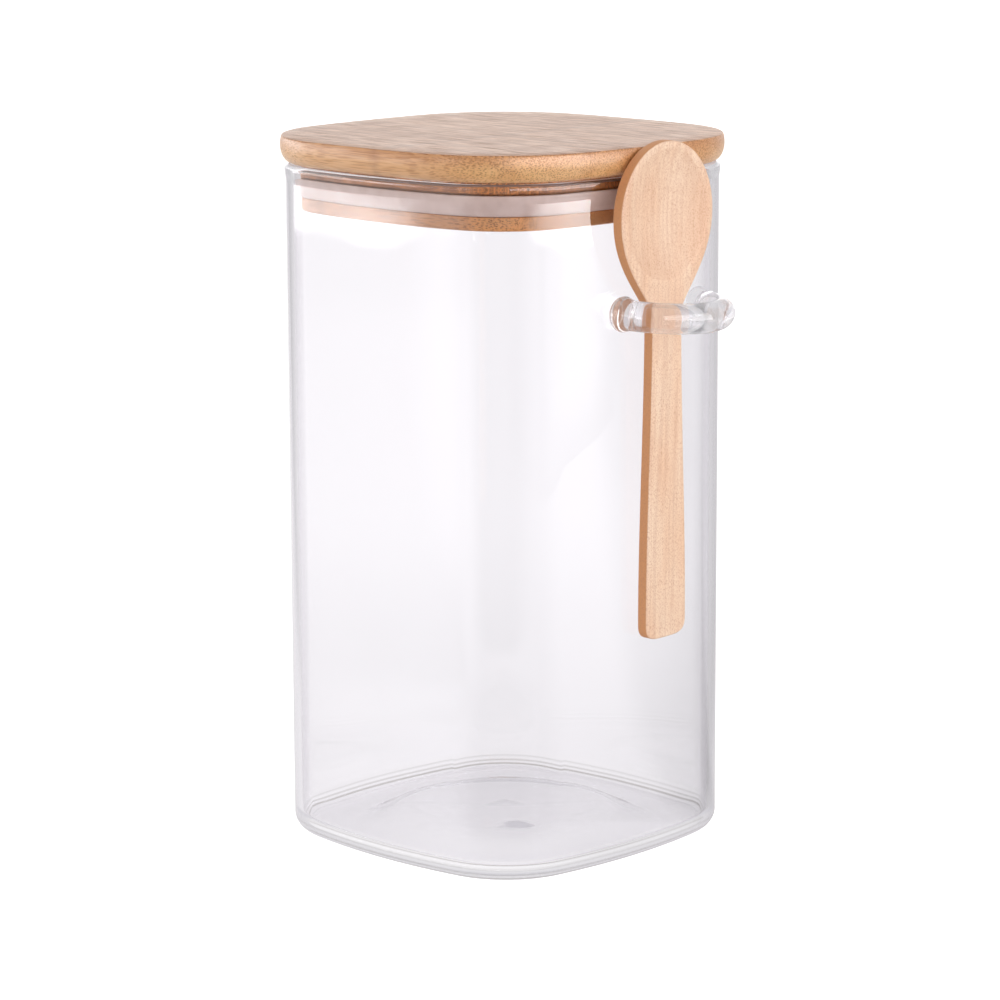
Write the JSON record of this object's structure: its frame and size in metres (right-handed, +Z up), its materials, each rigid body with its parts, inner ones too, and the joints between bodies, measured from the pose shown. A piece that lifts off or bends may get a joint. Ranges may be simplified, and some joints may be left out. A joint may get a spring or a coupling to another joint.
{
  "type": "glass storage jar with spoon",
  "caption": "Square glass storage jar with round corners, a bamboo lid sealed by a silicone gasket, and a wooden spoon that hangs in a glass loop on its front.",
  "frame": {"origin": "on the table under the middle of the whole object, so the jar's own axis is 8.4 mm behind it", "axes": "+Z up, -Y towards the front, where the spoon hangs, and +X to the right as seen from the front"},
  "size_m": [0.1044, 0.1213, 0.1911],
  "materials": {
    "clear_glass": "clear mould-blown borosilicate glass, fire-polished at the rim",
    "loop_glass": "clear drawn glass rod, bent and fused on hot",
    "board_bamboo": "laminated bamboo, sanded and oiled, fine straight grain on top and dotted end grain at two sides",
    "plug_bamboo": "laminated bamboo, turned edge, dark end grain",
    "gasket_silicone": "translucent milky silicone, satin",
    "spoon_wood": "pale steamed beech, sanded, with fine short flecks"
  },
  "bodies": {
    "jar": {"jar_body": "clear_glass", "spoon_loop": "loop_glass"},
    "lid": {"lid_board": "board_bamboo", "lid_plug": "plug_bamboo", "lid_gasket": "gasket_silicone"},
    "spoon": {"wooden_spoon": "spoon_wood"}
  },
  "joints": [
    {"name": "lid_lift", "type": "slide", "parent": "jar", "child": "lid", "axis": [0, 0, 1], "range_m": [0, 0.04]},
    {"name": "spoon_lift", "type": "slide", "parent": "jar", "child": "spoon", "axis": [0, -0.0202, 0.9998], "range_m": [0, 0.094]}
  ]
}
